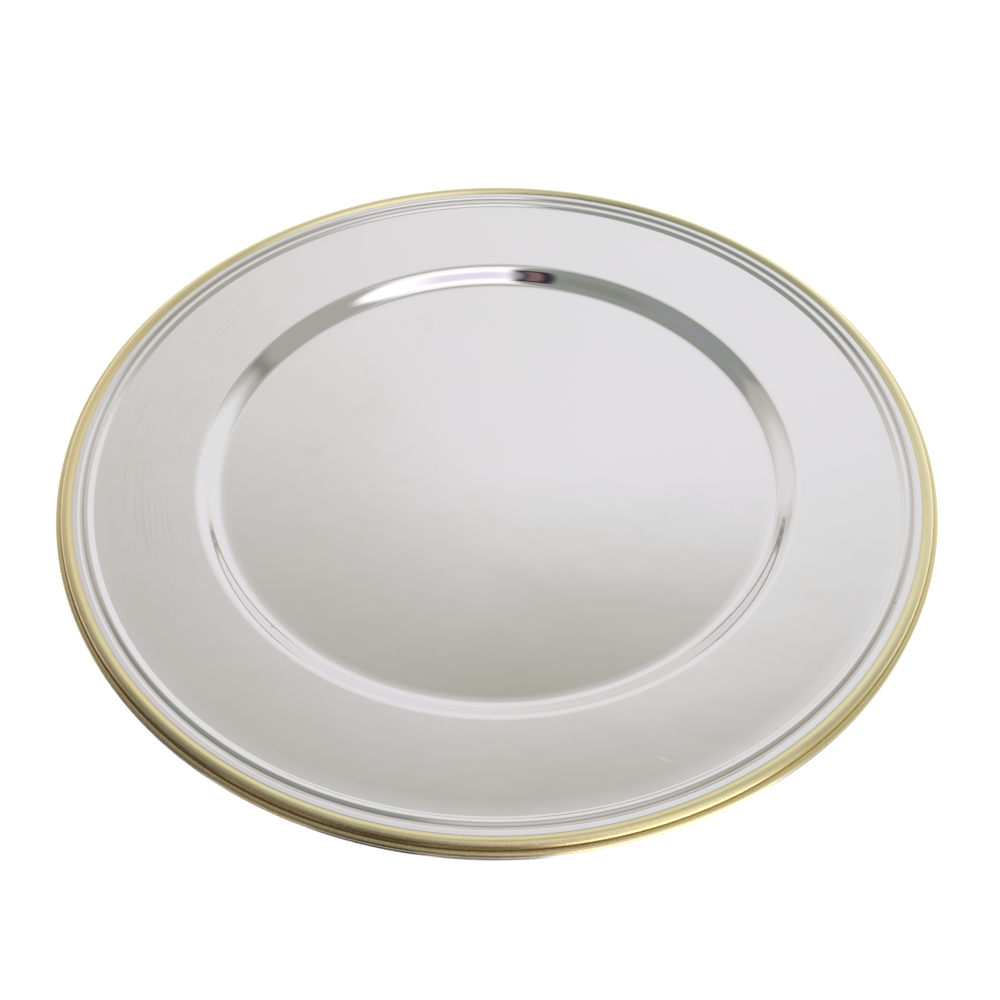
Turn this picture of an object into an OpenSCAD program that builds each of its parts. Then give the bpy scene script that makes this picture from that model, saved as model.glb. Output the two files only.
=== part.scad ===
// Round charger plate: a spun silver coloured dish with a gold coloured moulding round its edge.
// The origin is the middle of the underside that the plate stands on, +Z is up, all lengths are in mm.

/* [Plate] */
// Radius of the whole plate, out to the moulding's reed
plate_r = 165.5; // [160:0.5:175]
// Height of the top of the moulding's bead above what the plate stands on
plate_h = 11.65; // [11.35:0.05:12.75]

/* [Dish] */
// Thickness of the dish's sheet
sheet_t = 0.8; // [0.6:0.05:0.9]
// Radius of the well's flat floor, out to where it starts to lift
floor_r = 102.7; // [80:0.1:108]
// Width of the gentle lift that starts at the flat floor's edge
lift_w = 2.6; // [1.5:0.1:4]
// Slope at the lift's outer edge, in degrees
lift_slope = 2.5; // [1:0.5:4]
// Width of the quicker sweep from the lift to the cove's foot
sweep_w = 1.7; // [1:0.1:3]
// Slope at the sweep's outer edge, in degrees
sweep_slope = 8; // [5:0.5:12]
// Depth of the well, from the rim's inner edge down to the floor
well_depth = 5.2; // [4.7:0.1:5.7]
// Slope of the cove's straight side, in degrees
cove_slope = 47; // [40:1:55]
// Radius of the hollow bend at the foot of the cove
cove_foot_bend = 3.5; // [1:0.1:5]
// Radius of the round bend at the top of the cove
cove_top_bend = 4.1; // [1:0.1:5.5]
// Width of the soft ease from the cove's top bend to the rim
ease_w = 1.6; // [1:0.1:3]
// Slope at the ease's inner edge, in degrees: steeper than the rim
ease_slope = 8.3; // [5:0.1:12]
// Rise of the rim from the cove out to the reed band
rim_rise = 2.6; // [2.2:0.05:2.95]

/* [Reed band] */
// Distance in from the plate's edge to the foot of the riser where the band starts
band_setback = 13.35; // [12.8:0.05:13.8]
// Slope of the riser up to the dish's reed, in degrees
riser_slope = 40; // [30:1:50]
// Radius of the reed's round top
reed_bend = 1.2; // [1.1:0.05:1.4]
// Slope of the reed's outer side down to the groove, in degrees
reed_slope = 8; // [5:1:12]
// Distance in from the plate's edge to the bottom of the groove
groove_setback = 9.4; // [9:0.1:9.8]
// Depth of the groove below the seat that carries the moulding
groove_depth = 1; // [0.8:0.05:1.2]
// Slope of the groove's outer side up to the shoulder, in degrees
shoulder_slope = 35; // [30:1:45]
// Rise of the shoulder from the groove's edge out to the seat
shoulder_rise = 0.15; // [0.05:0.05:0.25]
// Distance in from the plate's edge to the seat's inner edge
seat_setback = 6.45; // [6.4:0.05:6.6]
// Radius of the bends at the foot of the riser and of the groove
hollow_bend = 0.6; // [0.3:0.05:0.8]
// Radius of the round bends at the shoulder, the seat and the skirt's top
shoulder_bend = 1.1; // [1:0.05:1.2]

/* [Skirt] */
// Distance in from the plate's edge to the outer face of the skirt behind the moulding
skirt_setback = 4.45; // [4.35:0.05:4.6]
// Height of the skirt's lower edge above what the plate stands on
skirt_clear = 5.2; // [4.9:0.1:5.7]

/* [Gilt moulding] */
// Radius of the bead on top
bead_r = 2.2; // [2.1:0.05:2.3]
// Height of the bead's crest above the seat
bead_rise = 1.4; // [1.2:0.05:1.6]
// Radius of the moulding's reed, outside and below the bead
edge_reed_r = 1.1; // [1.05:0.05:1.2]
// Drop from the bead's crest to the middle of the reed
edge_reed_drop = 3.25; // [3.15:0.05:3.35]
// Length by which the bead and the reed run into each other at the crease
crease_overlap = 0.1; // [0.05:0.01:0.2]
// Drop from the bead's crest to the moulding's flat lower face
moulding_h = 4.2; // [4:0.05:4.2]
// Width of the brazed joint that closes the moulding's hoop
joint_w = 0.5; // [0.3:0.05:0.8]

/* [Base wire] */
// Diameter of the round wire under the moulding
wire_d = 2.6; // [2.4:0.05:2.8]
// Distance in from the plate's edge to the middle of the wire
wire_setback = 1.5; // [1.4:0.05:1.6]

/* [Hidden] */
$fn = 180;

// Clearance between curved faces that solder holds together
solder_gap = 0.1;
// Length by which a cut runs past what it cuts
overrun = 10;
// Angle of one step round a bend of the dish, in degrees
bend_step = 4;
// Clearance between the solder's sloping face and the wire
wire_gap = 0.3;

silver = [0.80, 0.80, 0.79];
gold = [0.86, 0.74, 0.42];
solder_grey = [0.62, 0.62, 0.60];

rim_z = sheet_t + well_depth;
seat_z = plate_h - bead_rise;
band_r = plate_r - band_setback;
groove_r = plate_r - groove_setback;
seat_r = plate_r - seat_setback;
skirt_r = plate_r - skirt_setback;
groove_z = seat_z - groove_depth;
shoulder_z = seat_z - shoulder_rise;
band_z = rim_z + rim_rise;

// Corners of the lift, the sweep, the cove and the ease, where the straight lines would meet
lift_r = floor_r + lift_w / 2;
sweep_r = floor_r + lift_w + sweep_w / 2;
sweep_z = sheet_t + (sweep_r - lift_r) * tan(lift_slope);
cove_foot_r = floor_r + lift_w + sweep_w + cove_foot_bend * tan((cove_slope - sweep_slope) / 2);
cove_foot_z = sweep_z + (cove_foot_r - sweep_r) * tan(sweep_slope);
cove_top_r = cove_foot_r + (rim_z - cove_foot_z) / tan(cove_slope);
ease_r = cove_top_r + cove_top_bend * tan((cove_slope - ease_slope) / 2) + ease_w / 2;
ease_z = rim_z + (ease_r - cove_top_r) * tan(ease_slope);
rim_slope = atan((band_z - ease_z) / (band_r - ease_r));

// Bends of the lift, the sweep and the ease that take up their widths
lift_bend = lift_w / 2 / tan(lift_slope / 2);
sweep_bend = sweep_w / 2 / tan((sweep_slope - lift_slope) / 2);
ease_bend = ease_w / 2 / tan((ease_slope - rim_slope) / 2);

// Corner of the dish's reed: the riser's line and the line of the reed's outer side meet there
reed_r = (groove_z - band_z + groove_r * tan(reed_slope) + band_r * tan(riser_slope))
    / (tan(reed_slope) + tan(riser_slope));
reed_z = band_z + (reed_r - band_r) * tan(riser_slope);

shoulder_r = groove_r + (shoulder_z - groove_z) / tan(shoulder_slope);

// Upper face of the dish from the middle outwards: each corner's radius, height and bend
dish_path = [
    [0, sheet_t, 0],
    [lift_r, sheet_t, lift_bend],
    [sweep_r, sweep_z, sweep_bend],
    [cove_foot_r, cove_foot_z, cove_foot_bend],
    [cove_top_r, rim_z, cove_top_bend],
    [ease_r, ease_z, ease_bend],
    [band_r, band_z, hollow_bend],
    [reed_r, reed_z, reed_bend],
    [groove_r, groove_z, hollow_bend],
    [shoulder_r, shoulder_z, shoulder_bend],
    [seat_r, seat_z, shoulder_bend],
    [skirt_r, seat_z, shoulder_bend],
    [skirt_r, skirt_clear, 0],
];

// Middles of the moulding's rounds: the bead's follows from the reed's and from how they meet
edge_reed_at = [plate_r - edge_reed_r, plate_h - edge_reed_drop];
bead_spread = bead_r + edge_reed_r - crease_overlap;
bead_lift = edge_reed_drop - bead_r;
bead_at = [edge_reed_at[0] - sqrt(bead_spread ^ 2 - bead_lift ^ 2), plate_h - bead_r];
moulding_foot = plate_h - moulding_h;
moulding_back = skirt_r + solder_gap;

wire_r = wire_d / 2;
wire_at = [plate_r - wire_setback, moulding_foot - solder_gap - wire_r];

// Leg of the solder's three-cornered section, as long as its sloping face stays clear of the wire
solder_leg = wire_at[0] - moulding_back + moulding_foot - wire_at[1] - (wire_r + wire_gap) * sqrt(2);

// Turn of the hoop that the joint takes up, and where it starts: the joint is in front, on -Y
joint_turn = 2 * asin(joint_w / 2 / plate_r);
joint_start = 270 - joint_turn / 2;

function corner(i) = [dish_path[i][0], dish_path[i][1]];
function bend(i) = dish_path[i][2];
// Direction of the upper face from corner i to the next
function heading(i) = let (run = corner(i + 1) - corner(i)) run / norm(run);
function turned(h, a) = [h[0] * cos(a) - h[1] * sin(a), h[0] * sin(a) + h[1] * cos(a)];
// Direction square to a heading, into the sheet
function into(h) = [h[1], -h[0]];
// Turn at a corner: positive where the upper face bends up
function turn(i) = let (a = heading(i - 1), b = heading(i)) atan2(a[0] * b[1] - a[1] * b[0], a * b);
function bend_start(i) = corner(i) - heading(i - 1) * bend(i) * tan(abs(turn(i)) / 2);
function bend_middle(i) = bend_start(i) - sign(turn(i)) * into(heading(i - 1)) * bend(i);
// Point on a bend, a share of the way round it and at a depth below the upper face
function bend_point(i, depth, share) =
    bend_middle(i) + into(turned(heading(i - 1), turn(i) * share)) * (sign(turn(i)) * bend(i) + depth);
// The dish's face at a depth below the upper one, from the middle out to the skirt's edge
function face(depth) = let (last = len(dish_path) - 1) [
    corner(0) + into(heading(0)) * depth,
    for (i = [1 : last - 1])
        let (steps = ceil(abs(turn(i)) / bend_step))
            for (k = [0 : steps]) bend_point(i, depth, k / steps),
    corner(last) + into(heading(last - 1)) * depth,
];
function backwards(points) = [for (i = [len(points) - 1 : -1 : 0]) points[i]];

// Section of the gilt moulding: a bead and a reed on a solid core, cut back to sit on the dish
module moulding_section() {
    difference() {
        union() {
            translate(bead_at) circle(r = bead_r);
            translate(edge_reed_at) circle(r = edge_reed_r);
            polygon([
                [moulding_back, moulding_foot],
                [edge_reed_at[0], moulding_foot],
                edge_reed_at,
                bead_at,
                [moulding_back, bead_at[1]],
            ]);
        }
        translate([moulding_back - overrun, seat_z - overrun]) square(overrun);
        translate([moulding_back - overrun, moulding_foot - overrun]) square([2 * overrun, overrun]);
    }
}

// Spun dish: flat floor, cove, sloping rim, reed band, shoulder and a skirt turned down behind the moulding
module dish() {
    color(silver) rotate_extrude() polygon(concat(face(0), backwards(face(sheet_t))));
}

// Gilt moulding bent into a hoop, open where the brazed joint closes it
module gilt_border() {
    color(gold) rotate([0, 0, joint_start + joint_turn])
        rotate_extrude(angle = 360 - joint_turn) moulding_section();
}

// Brazing metal that fills the gap between the hoop's ends
module border_joint() {
    color(gold) rotate([0, 0, joint_start]) rotate_extrude(angle = joint_turn) moulding_section();
}

// Round silver coloured wire soldered under the moulding, as the plate's lower edge
module base_wire() {
    color(silver) rotate_extrude() translate(wire_at) circle(r = wire_r);
}

// Solder in the corner between the skirt and the moulding's lower face, over the wire
module rim_solder() {
    color(solder_grey) rotate_extrude() polygon([
        [moulding_back, moulding_foot],
        [moulding_back, moulding_foot - solder_leg],
        [moulding_back + solder_leg, moulding_foot],
    ]);
}

dish();
gilt_border();
border_joint();
base_wire();
rim_solder();
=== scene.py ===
import math

import bpy
import numpy as np
from mathutils import Matrix, Vector

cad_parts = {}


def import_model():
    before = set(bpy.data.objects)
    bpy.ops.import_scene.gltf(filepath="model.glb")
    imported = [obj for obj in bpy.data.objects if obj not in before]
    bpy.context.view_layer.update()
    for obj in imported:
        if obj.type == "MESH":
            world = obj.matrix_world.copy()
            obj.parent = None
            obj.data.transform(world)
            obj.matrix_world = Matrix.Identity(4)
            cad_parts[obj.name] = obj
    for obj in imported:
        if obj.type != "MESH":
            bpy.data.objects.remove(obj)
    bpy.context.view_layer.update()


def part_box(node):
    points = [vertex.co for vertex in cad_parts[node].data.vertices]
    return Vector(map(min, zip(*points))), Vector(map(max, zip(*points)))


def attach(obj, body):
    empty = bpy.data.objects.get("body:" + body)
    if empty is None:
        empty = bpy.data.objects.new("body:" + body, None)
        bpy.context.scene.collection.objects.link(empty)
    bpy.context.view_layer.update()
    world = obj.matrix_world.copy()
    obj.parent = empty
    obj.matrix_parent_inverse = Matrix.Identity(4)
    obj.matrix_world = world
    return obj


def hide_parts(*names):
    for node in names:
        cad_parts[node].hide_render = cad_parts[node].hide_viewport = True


MM = 0.001

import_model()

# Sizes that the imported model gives, in mm
plate_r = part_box("gilt_border")[1].x / MM
plate_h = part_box("gilt_border")[1].z / MM
moulding_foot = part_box("gilt_border")[0].z / MM
skirt_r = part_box("dish")[1].x / MM
seat_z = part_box("dish")[1].z / MM
wire_r = (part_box("base_wire")[1].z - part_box("base_wire")[0].z) / 2 / MM
wire_at = (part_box("base_wire")[1].x / MM - wire_r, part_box("base_wire")[0].z / MM + wire_r)
solder_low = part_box("rim_solder")[0].z / MM

# Sizes of the dish in mm. The heights are counted down from the seat. Next to the part's source, the reed
# band's riser and bends are softer and the rim turns up a little before the band, as their reflections show:
# the two faces lie at most 0.2 mm apart
sheet_t = 0.8
floor_r = 102.7
lift_w = 2.6
lift_slope = 2.5
sweep_w = 1.7
sweep_slope = 8
cove_slope = 47
cove_foot_bend = 3.5
cove_top_bend = 4.1
ease_w = 1.6
ease_slope = 8.3
rim_rise = 2.6
band_setback = 13.35
band_drop = 1.65
riser_slope = 34
reed_bend = 2.8
reed_slope = 8
groove_setback = 9.4
groove_depth = 1
shoulder_slope = 35
shoulder_rise = 0.22
seat_setback = 6.45
hollow_bend = 1.8
shoulder_bend = 1.1
upturn_w = 3.4
upturn_drop = 0.08
upturn_bend = 220
skirt_h = 5.05

# The cove's side as seen in its reflections, a slow S: how far its slope swings about the mean, in degrees,
# and the radii in mm of its two ends and of the swing
cove_swing = 5
cove_end_bends = (2.5, 2.6)
cove_swing_bend = 13

# Sizes of the moulding in mm, as in the part's source
bead_r = 2.2
edge_reed_r = 1.1
edge_reed_drop = 3.25
crease_overlap = 0.1
joint_w = 0.5
moulding_back = skirt_r + 0.1
# How far the braze fills the moulding's crease, in degrees, and the joint's steps
JOINT_FILL = 3
JOINT_STEPS = 4

# Fineness of the meshes: steps round the plate, and degrees of one step round a bend
ROUND_STEPS = 480
BEND_STEP = 3
WIRE_STEP = 6
# Passes that settle the cove's mean slope
COVE_PASSES = 6


# Sections: points of (r, z, normal r, normal z) in mm, run so that the outside is on the left

def unit(angle):
    """Direction at an angle in degrees from straight outwards, turning up."""
    a = math.radians(angle)
    return np.array([math.cos(a), math.sin(a)])


def arc(middle, radius, start, end, step=BEND_STEP):
    """Points on a convex round, from one angle to another in degrees."""
    steps = max(2, math.ceil(abs(end - start) / step))
    return [(*(np.array(middle) + unit(a) * radius), *unit(a)) for a in np.linspace(start, end, steps + 1)]


def straight(start, end):
    """A flat stretch between two points."""
    d = np.array(end[:2]) - np.array(start[:2])
    d /= np.linalg.norm(d)
    return [(*start[:2], -d[1], d[0]), (*end[:2], -d[1], d[0])]


def crossing(m1, r1, m2, r2):
    """The upper one of the two points where two circles cross."""
    m1 = np.array(m1, float)
    d = np.array(m2) - m1
    dist = np.linalg.norm(d)
    along = (dist * dist + r1 * r1 - r2 * r2) / (2 * dist)
    up = math.sqrt(r1 * r1 - along * along)
    d /= dist
    side = np.array([d[1], -d[0]])
    return max((m1 + d * along + side * up, m1 + d * along - side * up), key=lambda p: p[1])


def angle_of(point, middle):
    """Angle in degrees of a point seen from a round's middle."""
    return math.degrees(math.atan2(point[1] - middle[1], point[0] - middle[0]))


def tan(angle):
    """Tangent of an angle in degrees."""
    return math.tan(math.radians(angle))


def dish_corners():
    """Corners of the dish's upper face from the middle outwards: radius, height and bend."""
    band_r, band_z = plate_r - band_setback, seat_z - band_drop
    rim_z = band_z - rim_rise
    groove_r, groove_z = plate_r - groove_setback, seat_z - groove_depth
    lift_r = floor_r + lift_w / 2
    sweep_r = floor_r + lift_w + sweep_w / 2
    sweep_z = sheet_t + (sweep_r - lift_r) * tan(lift_slope)
    foot_r = floor_r + lift_w + sweep_w + cove_foot_bend * tan((cove_slope - sweep_slope) / 2)
    foot_z = sweep_z + (foot_r - sweep_r) * tan(sweep_slope)
    top_r = foot_r + (rim_z - foot_z) / tan(cove_slope)
    ease_r = top_r + cove_top_bend * tan((cove_slope - ease_slope) / 2) + ease_w / 2
    ease_z = rim_z + (ease_r - top_r) * tan(ease_slope)
    rim_slope = math.degrees(math.atan((band_z - ease_z) / (band_r - ease_r)))
    fall, rise = tan(reed_slope), tan(riser_slope)
    reed_r = (groove_z - band_z + groove_r * fall + band_r * rise) / (fall + rise)
    shoulder_z = seat_z - shoulder_rise
    shoulder_r = groove_r + (shoulder_z - groove_z) / tan(shoulder_slope)
    low = (floor_r + lift_w + sweep_w, sweep_z + sweep_w / 2 * tan(sweep_slope))
    high = (ease_r - ease_w / 2, ease_z - ease_w / 2 * tan(ease_slope))
    return [
        (0, sheet_t, 0),
        (lift_r, sheet_t, lift_w / 2 / tan(lift_slope / 2)),
        (sweep_r, sweep_z, sweep_w / 2 / tan((sweep_slope - lift_slope) / 2)),
        *cove_side(low, high),
        (ease_r, ease_z, ease_w / 2 / tan((ease_slope - rim_slope) / 2)),
        (band_r - upturn_w, band_z - upturn_w * tan(rim_slope) - upturn_drop, upturn_bend),
        (band_r, band_z, hollow_bend),
        (reed_r, band_z + (reed_r - band_r) * rise, reed_bend),
        (groove_r, groove_z, hollow_bend),
        (shoulder_r, shoulder_z, shoulder_bend),
        (plate_r - seat_setback, seat_z, shoulder_bend),
        (skirt_r, seat_z, shoulder_bend),
        (skirt_r, seat_z - skirt_h, 0),
    ]


def cove_side(low, high):
    """Corners of the cove's side between the sweep's end and the ease's start."""
    foot_bend, top_bend = cove_end_bends
    slope = cove_slope
    for _ in range(COVE_PASSES):
        foot = np.array(low) + unit(sweep_slope) * foot_bend * tan((slope - cove_swing - sweep_slope) / 2)
        top = np.array(high) - unit(ease_slope) * top_bend * tan((slope - cove_swing - ease_slope) / 2)
        (r, z), (top_r, top_z) = foot, top
        slope = math.degrees(math.atan2(top_z - z, top_r - r))
    step = math.hypot(top_r - r, top_z - z) / 4 / math.cos(math.radians(cove_swing))
    shift = step * unit(slope - cove_swing)
    return [
        (r, z, foot_bend),
        (r + shift[0], z + shift[1], cove_swing_bend),
        (top_r - shift[0], top_z - shift[1], cove_swing_bend),
        (top_r, top_z, top_bend),
    ]


def dish_face(depth):
    """The dish's face at a depth below the upper one, from the middle out to the skirt's edge."""
    corners = dish_corners()
    at = [np.array(c[:2]) for c in corners]
    out = []
    for i, (r, z, bend) in enumerate(corners):
        ahead = at[min(i + 1, len(at) - 1)] - at[min(i, len(at) - 2)]
        ahead /= np.linalg.norm(ahead)
        up = np.array([-ahead[1], ahead[0]])
        if i == 0 or i == len(at) - 1:
            out.append((*(at[i] - up * depth), *up))
            continue
        before = at[i] - at[i - 1]
        before /= np.linalg.norm(before)
        up_before = np.array([-before[1], before[0]])
        turn = math.atan2(before[0] * ahead[1] - before[1] * ahead[0], before @ ahead)
        start = at[i] - before * bend * math.tan(abs(turn) / 2)
        middle = start + math.copysign(1, turn) * up_before * bend
        steps = max(4, math.ceil(abs(math.degrees(turn)) / BEND_STEP))
        for a in np.linspace(0, turn, steps + 1):
            n = up_before * math.cos(a) + np.array([-up_before[1], up_before[0]]) * math.sin(a)
            out.append((*(middle - n * (math.copysign(1, turn) * bend + depth)), *n))
    return out


def dish_section():
    """Upper face, lower edge of the skirt and lower face of the dish."""
    upper = dish_face(0)
    lower = [(r, z, -nr, -nz) for r, z, nr, nz in reversed(dish_face(sheet_t))]
    return [upper, straight(upper[-1], lower[0]), lower]


def moulding_rounds():
    """Middles and radii of the bead and the reed."""
    reed = (plate_r - edge_reed_r, plate_h - edge_reed_drop)
    spread, lift = bead_r + edge_reed_r - crease_overlap, edge_reed_drop - bead_r
    return ((reed[0] - math.sqrt(spread ** 2 - lift ** 2), plate_h - bead_r), bead_r), (reed, edge_reed_r)


def moulding_section(fill=0):
    """The gilt moulding's outline. fill, in degrees, is how far metal fills the crease between its rounds."""
    (bead, bead_rad), (reed, reed_rad) = moulding_rounds()
    seat = bead[0] - math.sqrt(bead_rad ** 2 - (bead[1] - seat_z) ** 2)
    under = reed[0] + math.sqrt(reed_rad ** 2 - (reed[1] - moulding_foot) ** 2)
    crease = crossing(bead, bead_rad, reed, reed_rad)
    bead_arc = arc(bead, bead_rad, angle_of((seat, seat_z), bead), angle_of(crease, bead) + fill)
    reed_arc = arc(reed, reed_rad, angle_of(crease, reed) - fill, angle_of((under, moulding_foot), reed))
    stretches = [
        bead_arc,
        straight(bead_arc[-1], reed_arc[0]) if fill else [],
        reed_arc,
        straight((under, moulding_foot), (moulding_back, moulding_foot)),
        straight((moulding_back, moulding_foot), (moulding_back, seat_z)),
        straight((moulding_back, seat_z), (seat, seat_z)),
    ]
    return [s for s in stretches if s]


# Meshes

def lathe(name, stretches, sweep=None, steps=ROUND_STEPS):
    """Turns a section round the Z axis: the whole way, or over a sweep of two angles in degrees."""
    places, strips = [], []
    for stretch in stretches:
        ids = []
        for p in stretch:
            spot = np.array(p[:2])
            ends = {0, len(places) - 1} if places else set()
            known = [k for k in ends if np.allclose(places[k], spot, atol=1e-6)]
            if not known:
                places.append(spot)
            ids.append(known[0] if known else len(places) - 1)
        strips += [(a, b, p[2:], q[2:]) for a, b, p, q in zip(ids, ids[1:], stretch, stretch[1:]) if a != b]
    places = np.array(places)
    start, end = sweep or (0, 360)
    turns = np.radians(np.linspace(start, end, steps + 1))
    if not sweep:
        turns = turns[:-1]
    count = len(turns)
    on_axis = places[:, 0] < 1e-6
    first, verts = [], []
    for (r, z), pole in zip(places, on_axis):
        first.append(len(verts))
        used = turns[:1] if pole else turns
        verts += [(r * MM * math.cos(t), r * MM * math.sin(t), z * MM) for t in used]
    faces, normals = [], []
    for a, b, n, m in strips:
        for j in range(steps):
            k = (j + 1) % count if not sweep else j + 1
            t, s = turns[j], turns[k]
            ring = [(a, j, t, n), (b, j, t, m), (b, k, s, m), (a, k, s, n)]
            if on_axis[a]:
                ring = ring[:3]
            if on_axis[b]:
                ring = [ring[0], ring[1], ring[3]]
            faces.append([first[p] + (0 if on_axis[p] else q) for p, q, _, _ in ring])
            normals += [(v[0] * math.cos(w), v[0] * math.sin(w), v[1]) for _, _, w, v in ring]
    if sweep:
        for q, t, way in ((0, turns[0], -1), (count - 1, turns[-1], 1)):
            cap = [first[p] + q for p in range(len(places))]
            faces.append(cap[::-1] if way > 0 else cap)
            normals += [(-way * math.sin(t), way * math.cos(t), 0)] * len(cap)
    mesh = bpy.data.meshes.new(name)
    mesh.from_pydata(verts, [], faces)
    mesh.shade_smooth()
    if sweep:
        for cap in mesh.polygons[-2:]:
            cap.use_smooth = False
    mesh.normals_split_custom_set(normals)
    mesh.update()
    return add(name, mesh)


def add(name, mesh):
    """A new object in the scene."""
    thing = bpy.data.objects.new(name, mesh)
    bpy.context.scene.collection.objects.link(thing)
    return thing


# Materials

class Tree:
    """A short way to write shader nodes: numbers, colours and sockets all go in as inputs."""

    def __init__(self, owner):
        owner.use_nodes = True
        self.tree = owner.node_tree
        self.tree.nodes.clear()

    def set(self, socket, value):
        if isinstance(value, bpy.types.NodeSocket):
            self.tree.links.new(value, socket)
        elif isinstance(value, (tuple, list)) and len(value) == 3 and socket.type == "RGBA":
            socket.default_value = (*value, 1)
        else:
            socket.default_value = value

    def node(self, kind, inputs=None, **settings):
        n = self.tree.nodes.new(kind)
        for key, value in settings.items():
            setattr(n, key, value)
        for key, value in (inputs or {}).items():
            self.set(n.inputs[key], value)
        return n

    def math(self, operation, *values, clamp=False):
        n = self.node("ShaderNodeMath", operation=operation, use_clamp=clamp)
        for socket, value in zip(n.inputs, values):
            self.set(socket, value)
        return n.outputs[0]

    def step(self, value, low, high, to_low=0.0, to_high=1.0):
        """A smooth step from to_low, at low, to to_high, at high."""
        n = self.node("ShaderNodeMapRange", interpolation_type="SMOOTHSTEP")
        keys = ("Value", "From Min", "From Max", "To Min", "To Max")
        for key, v in zip(keys, (value, low, high, to_low, to_high)):
            self.set(n.inputs[key], v)
        return n.outputs[0]

    def band(self, value, start, full, full_end, end):
        """1 between full and full_end, and 0 before start and past end."""
        return self.times(self.step(value, start, full), self.step(value, end, full_end))

    def times(self, *values):
        """The product of the values."""
        out = values[0]
        for v in values[1:]:
            out = self.math("MULTIPLY", out, v)
        return out

    def mix(self, share, a, b):
        n = self.node("ShaderNodeMix", data_type="RGBA")
        self.set(n.inputs["Factor"], share)
        self.set(n.inputs[6], a)
        self.set(n.inputs[7], b)
        return n.outputs[2]

    def reach(self, a, b):
        """Length of the hypotenuse over two values."""
        squares = [self.math("MULTIPLY", v, v) for v in (a, b)]
        return self.math("SQRT", self.math("ADD", *squares))

    def place(self):
        """Object coordinates in metres."""
        return self.node("ShaderNodeTexCoord").outputs["Object"]

    def split(self, vector):
        return self.node("ShaderNodeSeparateXYZ", {0: vector}).outputs

    def join(self, x, y, z):
        return self.node("ShaderNodeCombineXYZ", {0: x, 1: y, 2: z}).outputs[0]

    def noise(self, vector, scale, detail=2.0, roughness=0.5, distortion=0.0):
        return self.node("ShaderNodeTexNoise", {
            "Vector": vector, "Scale": scale, "Detail": detail,
            "Roughness": roughness, "Distortion": distortion,
        }).outputs["Fac"]

    def bump(self, height, distance, strength=1.0, normal=None):
        inputs = {"Height": height, "Distance": distance, "Strength": strength}
        if normal:
            inputs["Normal"] = normal
        return self.node("ShaderNodeBump", inputs).outputs[0]


def srgb(*levels):
    """A colour written as 0 to 255 on screen, as linear light."""
    return tuple(((v / 255 + 0.055) / 1.055) ** 2.4 if v > 10 else v / 255 / 12.92 for v in levels)


def metal(name):
    """A new metal material, with its tree and its shader node."""
    mat = bpy.data.materials.new(name)
    t = Tree(mat)
    out = t.node("ShaderNodeOutputMaterial")
    shader = t.node("ShaderNodeBsdfPrincipled", {"Metallic": 1.0})
    t.set(out.inputs["Surface"], shader.outputs[0])
    return mat, t, shader


# Tints of the metals, as linear light
SHEET_CLEAR = (0.905, 0.897, 0.908)
SHEET_HAZE = (0.895, 0.893, 0.882)
SHEET_SWIRL = (0.86, 0.83, 0.74)
SHEET_RUBBED = (0.77, 0.74, 0.72)
SHEET_TARNISH = (0.64, 0.62, 0.58)
GILT_DEEP = (0.91, 0.81, 0.46)
GILT_PALE = (0.94, 0.86, 0.52)
# Painted light and shade on the gilt by side: this tint and the next paint the far and right sides lighter,
# the one after paints the left side darker
GILT_FAR_PAINTED_LIGHT = (0.98, 0.93, 0.62)
GILT_RIGHT_PAINTED_LIGHT = (1.0, 0.94, 0.62)
GILT_LEFT_PAINTED_SHADE = (0.88, 0.74, 0.42)
# Brown of the bead's rubbed flank, partly wear and partly painted shade
GILT_WORN_AND_SHADE = (0.56, 0.44, 0.26)
# Painted shade in the crease between bead and reed
GILT_CREASE_SHADE = (0.14, 0.11, 0.06)
WIRE_LEFT = (0.96, 0.95, 0.96)
# Painted shade: the wire darker on the right
WIRE_RIGHT_PAINTED_SHADE = (0.66, 0.65, 0.68)
SOLDER_GREY = (0.5, 0.5, 0.48)

# Radii in mm where the left rim's scratches and the groove's tarnish start, are full, are still full and end
RIM_WEAR = (112, 118, 140, 150)
GROOVE_TARNISH = (154.9, 155.4, 156.4, 156.9)
# Depths in mm of the sheet's faint waves and of the gilt's grain
SHEET_WAVES = 0.12
GILT_GRAIN = 0.03

# Small marks of use on the dish: place and half sizes in mm, turn in degrees, and how light they look
MARKS = [
    (33.9, -56.0, 1.9, 0.35, 35, 1.0),
    (53.3, -131.4, 2.6, 0.4, -31, 1.0),
    (138.9, -70.9, 0.45, 0.35, 0, 0.3),
    (-79.3, -74.8, 0.5, 0.4, 0, 0.35),
]


def mark(t, p, at_x, at_y, half_l, half_w, turn):
    """How much of a small oblong mark covers a point, seen from above."""
    local = t.node("ShaderNodeMapping", {
        "Vector": p, "Location": (at_x * MM, at_y * MM, 0), "Rotation": (0, 0, math.radians(turn)),
        "Scale": (half_l * MM, half_w * MM, 1),
    }, vector_type="TEXTURE").outputs[0]
    x, y, _ = t.split(local)
    return t.step(t.reach(x, y), 1.3, 0.5)


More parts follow.
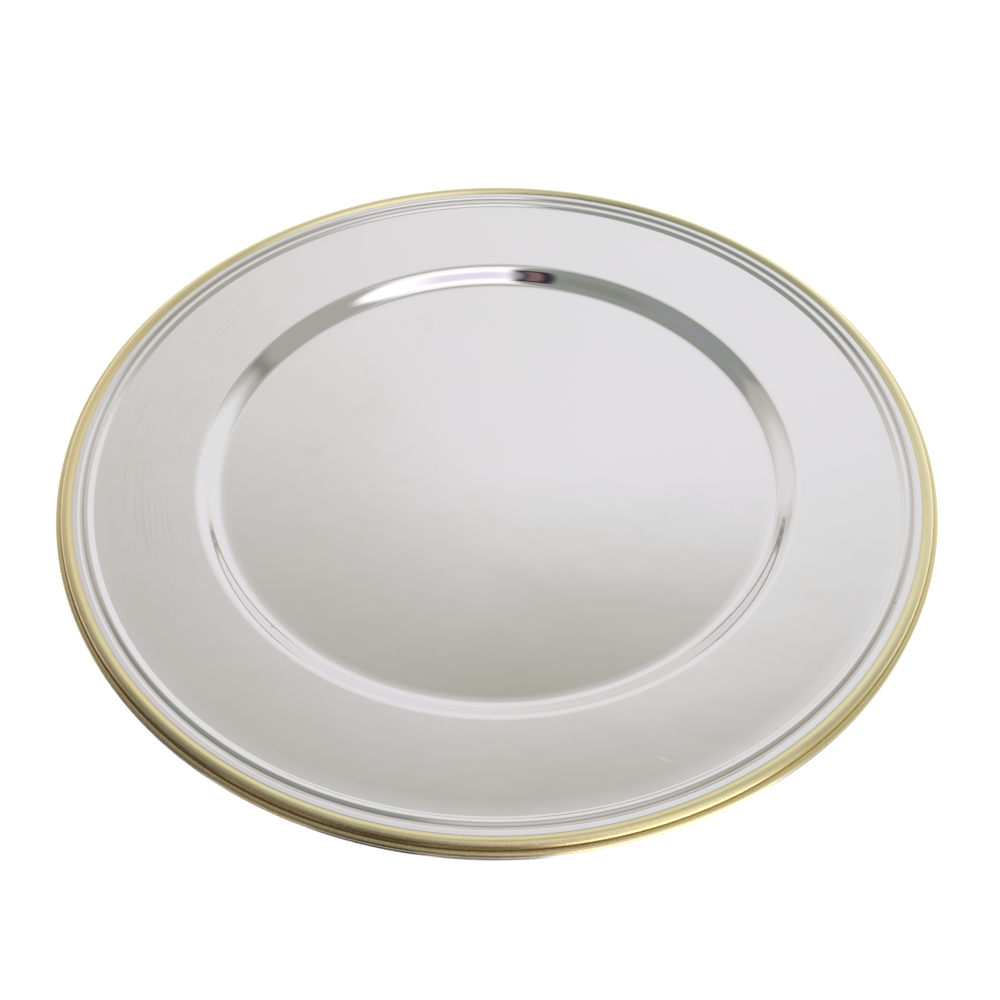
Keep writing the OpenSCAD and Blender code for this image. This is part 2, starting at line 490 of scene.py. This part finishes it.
def silver_material():
    mat, t, shader = metal("silver_sheet")
    p = t.place()
    x, y, _ = t.split(p)
    reach, around = t.reach(x, y), t.math("ARCTAN2", y, x)
    clouds = t.noise(p, 22, 3, 0.6)
    haze = t.noise(p, 7, 4, 0.65, 0.5)
    arcs = t.join(t.math("MULTIPLY", reach, 2600.0), t.math("MULTIPLY", around, 2.2), 0.0)
    rubbed = t.step(t.noise(arcs, 1.0, 2, 0.55), 0.55, 0.66)
    rubbed = t.math("MULTIPLY", rubbed, t.step(t.noise(p, 16, 2), 0.4, 0.6))
    left_rim = t.times(t.step(x, -0.09, -0.115), t.band(reach, *(r * MM for r in RIM_WEAR)))
    rubbed = t.math("MULTIPLY", rubbed, t.math("MULTIPLY_ADD", left_rim, 0.85, 0.15))
    tint = t.mix(t.step(haze, 0.35, 0.68), SHEET_CLEAR, SHEET_HAZE)
    swirl = t.step(t.noise(p, 26, 4, 0.6, 2.5), 0.56, 0.64)
    swirl = t.times(swirl, t.step(x, 0.02, -0.05), t.step(reach, 0.1, 0.085))
    tint = t.mix(t.math("MULTIPLY", swirl, 0.35), tint, SHEET_SWIRL)
    tint = t.mix(t.math("MULTIPLY", rubbed, 0.5), tint, SHEET_RUBBED)
    in_groove = t.band(reach, *(r * MM for r in GROOVE_TARNISH))
    tint = t.mix(t.math("MULTIPLY", in_groove, 0.8), tint, SHEET_TARNISH)
    rough = t.step(clouds, 0.35, 0.7, 0.045, 0.075)
    rough = t.math("ADD", rough, t.math("MULTIPLY", rubbed, 0.1))
    for at_x, at_y, half_l, half_w, turn, light in MARKS:
        share = mark(t, p, at_x, at_y, half_l, half_w, turn)
        tint = t.mix(t.math("MULTIPLY", share, 0.8), tint, (light, light, light))
        rough = t.math("ADD", rough, t.math("MULTIPLY", share, 0.25))
    t.set(shader.inputs["Base Color"], tint)
    t.set(shader.inputs["Roughness"], rough)
    waves = t.bump(t.noise(p, 45, 2, 0.4), SHEET_WAVES * MM, 0.6)
    t.set(shader.inputs["Normal"], waves)
    return mat


def gilt_material():
    """Pale gilt, rubbed brown on the bead's outer flank, partly as wear and, strongest on the front, as
    painted shade. Painted shade in the crease between bead and reed, and painted light and shade by side:
    lighter far and right, darker left.
    """
    mat, t, shader = metal("gilt")
    p = t.place()
    x, y, z = t.split(p)
    reach = t.reach(x, y)
    bead, reed = moulding_rounds()
    crease_r, crease_z = crossing(*bead, *reed)
    # Painted shade in the crease between bead and reed: darker, rougher gilt within half a mm of it
    out, up = t.math("SUBTRACT", reach, float(crease_r) * MM), t.math("SUBTRACT", z, float(crease_z) * MM)
    off = t.reach(out, up)
    crease_shade = t.step(off, 0.5 * MM, 0.12 * MM)
    top_r = float(bead[0][0])
    flank = t.step(reach, (top_r + 0.4) * MM, (top_r + 1.3) * MM)
    grain = t.noise(p, 1500, 3, 0.6)
    clouds = t.noise(p, 60, 3, 0.6)
    front = t.math("MULTIPLY", t.step(x, 0.06, 0.012, 0.3, 1.0), t.step(y, 0.0, -0.1, 0.3, 1.0))
    # Rubbed brown on the bead's outer flank: partly wear, partly painted shade, which makes it strongest on
    # the front
    worn_and_shade = t.math("MULTIPLY", flank, front)
    worn_and_shade = t.math("MULTIPLY", worn_and_shade, t.step(grain, 0.3, 0.66, 0.55, 1.0))
    tint = t.mix(t.step(clouds, 0.3, 0.7), GILT_DEEP, GILT_PALE)
    # Painted light and shade by side: the gilt lighter towards the far side and the right, darker towards the
    # left
    tint = t.mix(t.step(y, 0.02, 0.14, 0.0, 0.7), tint, GILT_FAR_PAINTED_LIGHT)
    tint = t.mix(t.step(x, 0.06, 0.13, 0.0, 0.8), tint, GILT_RIGHT_PAINTED_LIGHT)
    tint = t.mix(t.step(x, -0.08, -0.15, 0.0, 0.6), tint, GILT_LEFT_PAINTED_SHADE)
    tint = t.mix(worn_and_shade, tint, GILT_WORN_AND_SHADE)
    # The crease's painted shade is strongest on the front left
    crease_shade_amount = t.math("MULTIPLY", front, t.step(x, 0.02, -0.03, 0.0, 0.4))
    tint = t.mix(t.math("MULTIPLY", crease_shade, crease_shade_amount), tint, GILT_CREASE_SHADE)
    t.set(shader.inputs["Base Color"], tint)
    rough = t.step(clouds, 0.3, 0.7, 0.15, 0.22)
    rough = t.math("ADD", rough, t.step(reach, (top_r + 1.2) * MM, (top_r + 0.4) * MM, 0.0, 0.17))
    rough = t.math("ADD", rough, t.math("MULTIPLY", flank, 0.15))
    t.set(shader.inputs["Roughness"], t.math("ADD", rough, t.math("MULTIPLY", crease_shade, 0.3)))
    t.set(shader.inputs["Normal"], t.bump(grain, GILT_GRAIN * MM, 0.5))
    return mat


def wire_material():
    mat, t, shader = metal("silver_wire")
    p = t.place()
    x, _, _ = t.split(p)
    # Painted shade: the wire darker towards the right
    t.set(shader.inputs["Base Color"], t.mix(t.step(x, 0.0, 0.05), WIRE_LEFT, WIRE_RIGHT_PAINTED_SHADE))
    t.set(shader.inputs["Roughness"], t.step(t.noise(p, 150, 2), 0.3, 0.7, 0.25, 0.35))
    return mat


def solder_material():
    mat, t, shader = metal("solder")
    p = t.place()
    t.set(shader.inputs["Base Color"], SOLDER_GREY)
    t.set(shader.inputs["Roughness"], t.step(t.noise(p, 300, 2), 0.3, 0.7, 0.4, 0.6))
    return mat


# Room: a dome round the plate that only its reflections and its light come from

# Radius in m, and the dome's faces up and round
ROOM_R = 11.0
ROOM_ROWS = 16
ROOM_COLS = 48
# Light of the white window behind the camera
WINDOW = 1.15


def heading(compass, elevation):
    """Direction with a compass angle from straight away, turning right, and an elevation, in degrees."""
    c, e = math.radians(compass), math.radians(elevation)
    return Vector((math.sin(c) * math.cos(e), math.cos(c) * math.cos(e), math.sin(e)))


def patch(t, toward, below, colour, compass, elevation, half_w, half_h, soft, light, cover, lean):
    """Lays a soft-edged oblong over the room's colour. Its place and sizes are in degrees from the plate."""
    z = heading(compass, elevation)
    x = z.cross(Vector((0, 0, 1))).normalized()
    turn = Matrix.Rotation(math.radians(lean), 3, z)
    axes = Matrix((turn @ x, turn @ x.cross(z), -z)).transposed()
    inputs = {"Vector": toward, "Rotation": axes.to_euler()}
    px, py, pz = t.split(t.node("ShaderNodeMapping", inputs, vector_type="TEXTURE").outputs[0])
    ahead = t.math("MULTIPLY", pz, -1.0)
    share = cover
    for offset, half in ((px, half_w), (py, half_h)):
        across = t.math("ABSOLUTE", t.math("ARCTAN2", offset, ahead))
        edge, blur = math.radians(half), math.radians(soft)
        share = t.math("MULTIPLY", share, t.step(across, edge + blur, edge - blur))
    return t.mix(share, below, tuple(v * light for v in srgb(*colour)))


# The room's soft panels: colour as on screen, compass, elevation, half width, half height, the edge's
# softness, light, cover and lean
ROOM = [
    ((178, 178, 166), -78, 11, 13, 14, 7, 1, 0.9, 0),
    ((150, 152, 164), -107, 24, 14, 16, 8, 1, 0.8, 0),
    ((138, 141, 131), -137, 32, 14, 22, 8, 1, 0.9, 0),
    ((186, 184, 166), 105, -4, 32, 22, 9, 1, 0.95, 0),
    ((222, 214, 192), 45, -6, 18, 8, 8, 1, 0.6, 0),
    ((250, 246, 240), 152, 10, 26, 22, 6, 1.1, 1, 0),
    ((132, 132, 124), 77, 37, 13, 2.2, 3, 1, 0.9, 62),
    ((54, 48, 56), -162, 50, 4.8, 13, 1.6, 1, 1, 0),
    ((138, 108, 106), -163, 50, 1.9, 8, 1.2, 1, 0.9, 0),
    ((222, 214, 238), 168, 48, 12, 7, 6, 1, 0.75, 0),
    ((62, 54, 52), -164, 7, 25, 18, 5, 1, 1, 0),
    ((62, 56, 52), -94, -4, 15, 6, 4, 1, 1, 0),
    ((84, 84, 100), -95, 28, 3.5, 4.5, 2, 1, 0.8, 0),
    ((196, 194, 190), -32, 9, 3, 9, 4, 1, 0.8, 0),
]


# Paints of the ceiling and what joins it, as on screen
WALL_LEFT = srgb(228, 226, 225)
WALL_RIGHT = srgb(235, 234, 236)
FAR_CEILING = srgb(173, 173, 161)
VEIL = srgb(193, 186, 181)
BEYOND = srgb(160, 160, 146)
LIT = srgb(200, 199, 197)
WINDOW_WHITE = srgb(255, 253, 255)
OLIVE = srgb(174, 173, 164)
PANEL = srgb(150, 152, 148)


def ceiling(t, toward):
    """The room's upper part. Its panels have straight edges, laid out where directions meet a level ceiling:
    across counts to the right and away counts away from the camera, in heights of the ceiling."""
    x, y, z = t.split(toward)
    high = t.math("MAXIMUM", z, 0.05)
    across, away = t.math("DIVIDE", x, high), t.math("DIVIDE", y, high)
    right = t.math("MAXIMUM", across, 0.0)
    inside = t.math("SUBTRACT", t.math("SUBTRACT", 0.6, t.math("MULTIPLY", right, 0.2)), away)
    inside = t.math("DIVIDE", inside, t.math("ADD", t.math("ABSOLUTE", across), 1.0))
    wall = t.mix(t.step(across, 0.15, -0.35), WALL_RIGHT, WALL_LEFT)
    far = t.mix(t.step(inside, -0.3, 0.05), wall, FAR_CEILING)
    veil = t.math("MULTIPLY", t.step(across, 0.05, -0.25), t.step(inside, -0.5, -0.12))
    far = t.mix(t.math("MULTIPLY", veil, 0.45), far, VEIL)
    corner = t.math("ADD", away, t.math("MULTIPLY", across, 0.12))
    beyond = t.math("MULTIPLY", t.step(corner, 0.768, 0.762), t.step(across, -0.05, 0.05))
    far = t.mix(t.math("MULTIPLY", beyond, 0.12), far, BEYOND)
    window = tuple(v * WINDOW for v in WINDOW_WHITE)
    lit = t.mix(t.step(away, 0.35, -0.6), LIT, window)
    reach = t.reach(across, away)
    beam = t.math("ADD", away, t.math("MULTIPLY", across, 0.62))
    olive = t.math("MULTIPLY", t.step(reach, 0.25, 0.46), t.step(beam, -0.08, 0.1))
    near = t.mix(olive, lit, OLIVE)
    near = t.mix(t.step(across, -0.045, -0.13), near, PANEL)
    return t.mix(t.step(inside, -0.03, 0.05), far, near)


def room():
    """The dome, with the colour of a pale room laid on it by direction."""
    mesh = bpy.data.meshes.new("room")
    mat = bpy.data.materials.new("room")
    t = Tree(mat)
    toward = t.node("ShaderNodeVectorMath", {0: t.place()}, operation="NORMALIZE").outputs[0]
    colour = ceiling(t, toward)
    for panel in ROOM:
        colour = patch(t, toward, colour, *panel)
    glow = t.node("ShaderNodeEmission", {"Color": colour, "Strength": 1.0})
    t.node("ShaderNodeOutputMaterial", {"Surface": glow.outputs[0]})
    mat.cycles.emission_sampling = "NONE"
    rows, cols = ROOM_ROWS, ROOM_COLS
    verts = [heading(c * 360 / cols, e * 90 / rows) * ROOM_R for e in range(rows) for c in range(cols)]
    verts.append((0, 0, ROOM_R))
    pairs = [(c, (c + 1) % cols) for c in range(cols)]
    faces = [(e * cols + c, e * cols + d, (e + 1) * cols + d, (e + 1) * cols + c)
             for e in range(rows - 1) for c, d in pairs]
    faces += [((rows - 1) * cols + c, (rows - 1) * cols + d, len(verts) - 1) for c, d in pairs]
    mesh.from_pydata(verts, [], faces)
    mesh.materials.append(mat)
    dome = add("room", mesh)
    dome.visible_camera = False


# Table glow: what the plate's edge sees of the table round it. Colour as on screen, start and end of the
# sector in degrees from the right over the front, softness, and light
TABLE = [
    ((60, 54, 48), 210, 235, 3, 1),
    ((165, 140, 108), 235, 247, 2, 1),
    ((52, 46, 40), 247, 262, 2, 1),
    ((130, 124, 108), 262, 276, 2, 1),
    ((255, 250, 242), 277, 305, 2, 2.4),
    ((205, 198, 160), 307, 330, 4, 1),
    ((255, 253, 246), 385, 515, 12, 1.4),
]
# The card's gap to the plate and lift off the floor in mm, outer radius in m, steps, and spare degrees at its
# two ends
GLOW_GAP = 6
GLOW_LIFT = 0.2
GLOW_R = 2.9
GLOW_STEPS = 240
GLOW_SPARE = (6, 8)


def table_glow():
    """A card flat on the floor that only glossy reflections see, painted by sectors round the plate."""
    inner, outer, lift = (plate_r + GLOW_GAP) * MM, GLOW_R, GLOW_LIFT * MM
    mesh = bpy.data.meshes.new("table_glow")
    steps = GLOW_STEPS
    start, end = TABLE[0][1] - GLOW_SPARE[0], TABLE[-1][2] + GLOW_SPARE[1]
    turns = [math.radians(a) for a in np.linspace(start, end, steps + 1)]
    verts = [(r * math.cos(a), r * math.sin(a), lift) for a in turns for r in (inner, outer)]
    mesh.from_pydata(verts, [], [(2 * k, 2 * k + 1, 2 * k + 3, 2 * k + 2) for k in range(steps)])
    mat = bpy.data.materials.new("table_glow")
    t = Tree(mat)
    x, y, _ = t.split(t.place())
    around = t.math("ADD", t.math("ARCTAN2", y, x), 2 * math.pi)
    colour, cover = (1.0, 1.0, 1.0), 0.0
    for paint, start, end, soft, light in TABLE:
        a, b, s = (math.radians(v) for v in (start, end, soft))
        share = t.math("MULTIPLY", t.step(around, a - s, a + s), t.step(around, b + s, b - s))
        colour = t.mix(share, colour, tuple(v * light for v in srgb(*paint)))
        cover = t.math("MAXIMUM", cover, share)
    mixed = t.node("ShaderNodeMixShader", {
        0: cover, 1: t.node("ShaderNodeBsdfTransparent").outputs[0],
        2: t.node("ShaderNodeEmission", {"Color": colour, "Strength": 1.0}).outputs[0],
    })
    t.node("ShaderNodeOutputMaterial", {"Surface": mixed.outputs[0]})
    mat.cycles.emission_sampling = "NONE"
    mesh.materials.append(mat)
    card = add("table_glow", mesh)
    card.visible_camera = False
    card.visible_diffuse = False
    card.visible_shadow = False


# The floor's half width in m, its paint, and the light that camera and reflections see it with
FLOOR_HALF = 12.0
FLOOR_PAINT = (0.86, 0.86, 0.86)
FLOOR_GLOW = 0.6


def floor():
    """A plain white floor that keeps the plate's shadow."""
    mesh = bpy.data.meshes.new("floor")
    half = FLOOR_HALF
    corners = [(-half, -half, 0), (half, -half, 0), (half, half, 0), (-half, half, 0)]
    mesh.from_pydata(corners, [], [(0, 1, 2, 3)])
    mat = bpy.data.materials.new("floor")
    t = Tree(mat)
    rays = t.node("ShaderNodeLightPath").outputs
    seen = t.math("ADD", rays["Is Camera Ray"], rays["Is Glossy Ray"])
    seen = t.math("ADD", seen, rays["Is Transmission Ray"])
    shader = t.node("ShaderNodeBsdfPrincipled", {
        "Base Color": FLOOR_PAINT, "Roughness": 0.9, "Specular IOR Level": 0.0,
        "Emission Color": (1.0, 1.0, 1.0),
        "Emission Strength": t.math("MULTIPLY", seen, FLOOR_GLOW, clamp=True),
    })
    t.node("ShaderNodeOutputMaterial", {"Surface": shader.outputs[0]})
    mat.cycles.emission_sampling = "NONE"
    mesh.materials.append(mat)
    add("floor", mesh)


def world():
    """Plain white beyond the floor's edge."""
    bpy.context.scene.world = bpy.data.worlds.new("world")
    t = Tree(bpy.context.scene.world)
    sky = t.node("ShaderNodeBackground", {"Color": (1.0, 1.0, 1.0), "Strength": 1.0})
    t.node("ShaderNodeOutputWorld", {"Surface": sky.outputs[0]})


# Camera, as fitted to the plate's three rings in the photograph: metres, degrees, and mm for lens and sensor

CAMERA_AWAY = 0.52585
CAMERA_UP = 47.8133
CAMERA_PAN = 0.11817
CAMERA_TILT = -1.98903
CAMERA_ROLL = -0.24716
LENS = 49.5136
SENSOR = 36.0


def turned(a, b, angle):
    """Turns two axes at right angles in their plane by an angle, the first towards the second."""
    c, s = math.cos(angle), math.sin(angle)
    return a * c + b * s, b * c - a * s


def camera():
    """The camera looks at the plate's top edge plane from the front, then pans, tilts and rolls a little."""
    up = math.radians(CAMERA_UP)
    ahead = Vector((0, math.cos(up), -math.sin(up)))
    right = Vector((1, 0, 0))
    above = right.cross(ahead)
    pan, tilt, roll = (math.radians(a) for a in (CAMERA_PAN, CAMERA_TILT, CAMERA_ROLL))
    ahead, right = turned(ahead, right, pan)
    ahead, above = turned(ahead, above, tilt)
    right, above = turned(right, above, roll)
    data = bpy.data.cameras.new("camera")
    data.lens = LENS
    data.sensor_width = SENSOR
    data.clip_start = 0.01
    eye = add("camera", data)
    at = Vector((0, -math.cos(up), math.sin(up))) * CAMERA_AWAY + Vector((0, 0, seat_z * MM))
    eye.matrix_world = Matrix.Translation(at) @ Matrix((right, above, -ahead)).transposed().to_4x4()
    bpy.context.scene.camera = eye


# Pieces

def dress(piece, material, node):
    """Gives a piece its finish, hangs it on the root body and hides the part of the plate it stands for."""
    piece.data.materials.append(material)
    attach(piece, "root")
    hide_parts(node)


def build():
    """All the pieces. The moulding's joint faces the camera."""
    gap = 2 * math.degrees(math.asin(joint_w / 2 / plate_r))
    joint_start = 270 - gap / 2
    gilt = gilt_material()
    dress(lathe("dish_sheet", dish_section()), silver_material(), "dish")
    hoop = lathe("gilt_hoop", moulding_section(), (joint_start + gap, joint_start + 360))
    dress(hoop, gilt, "gilt_border")
    braze = lathe("braze_fill", moulding_section(JOINT_FILL), (joint_start, joint_start + gap), JOINT_STEPS)
    dress(braze, gilt, "border_joint")
    wire = lathe("edge_wire", [arc(wire_at, wire_r, 180, -180, WIRE_STEP)])
    dress(wire, wire_material(), "base_wire")
    leg = moulding_foot - solder_low
    low, out = (moulding_back, moulding_foot - leg), (moulding_back + leg, moulding_foot)
    corner = (moulding_back, moulding_foot)
    solder = lathe("solder_ring", [straight(corner, out), straight(out, low), straight(low, corner)])
    dress(solder, solder_material(), "rim_solder")


bpy.context.scene.view_settings.view_transform = "Standard"
camera()
world()
floor()
room()
table_glow()
build()
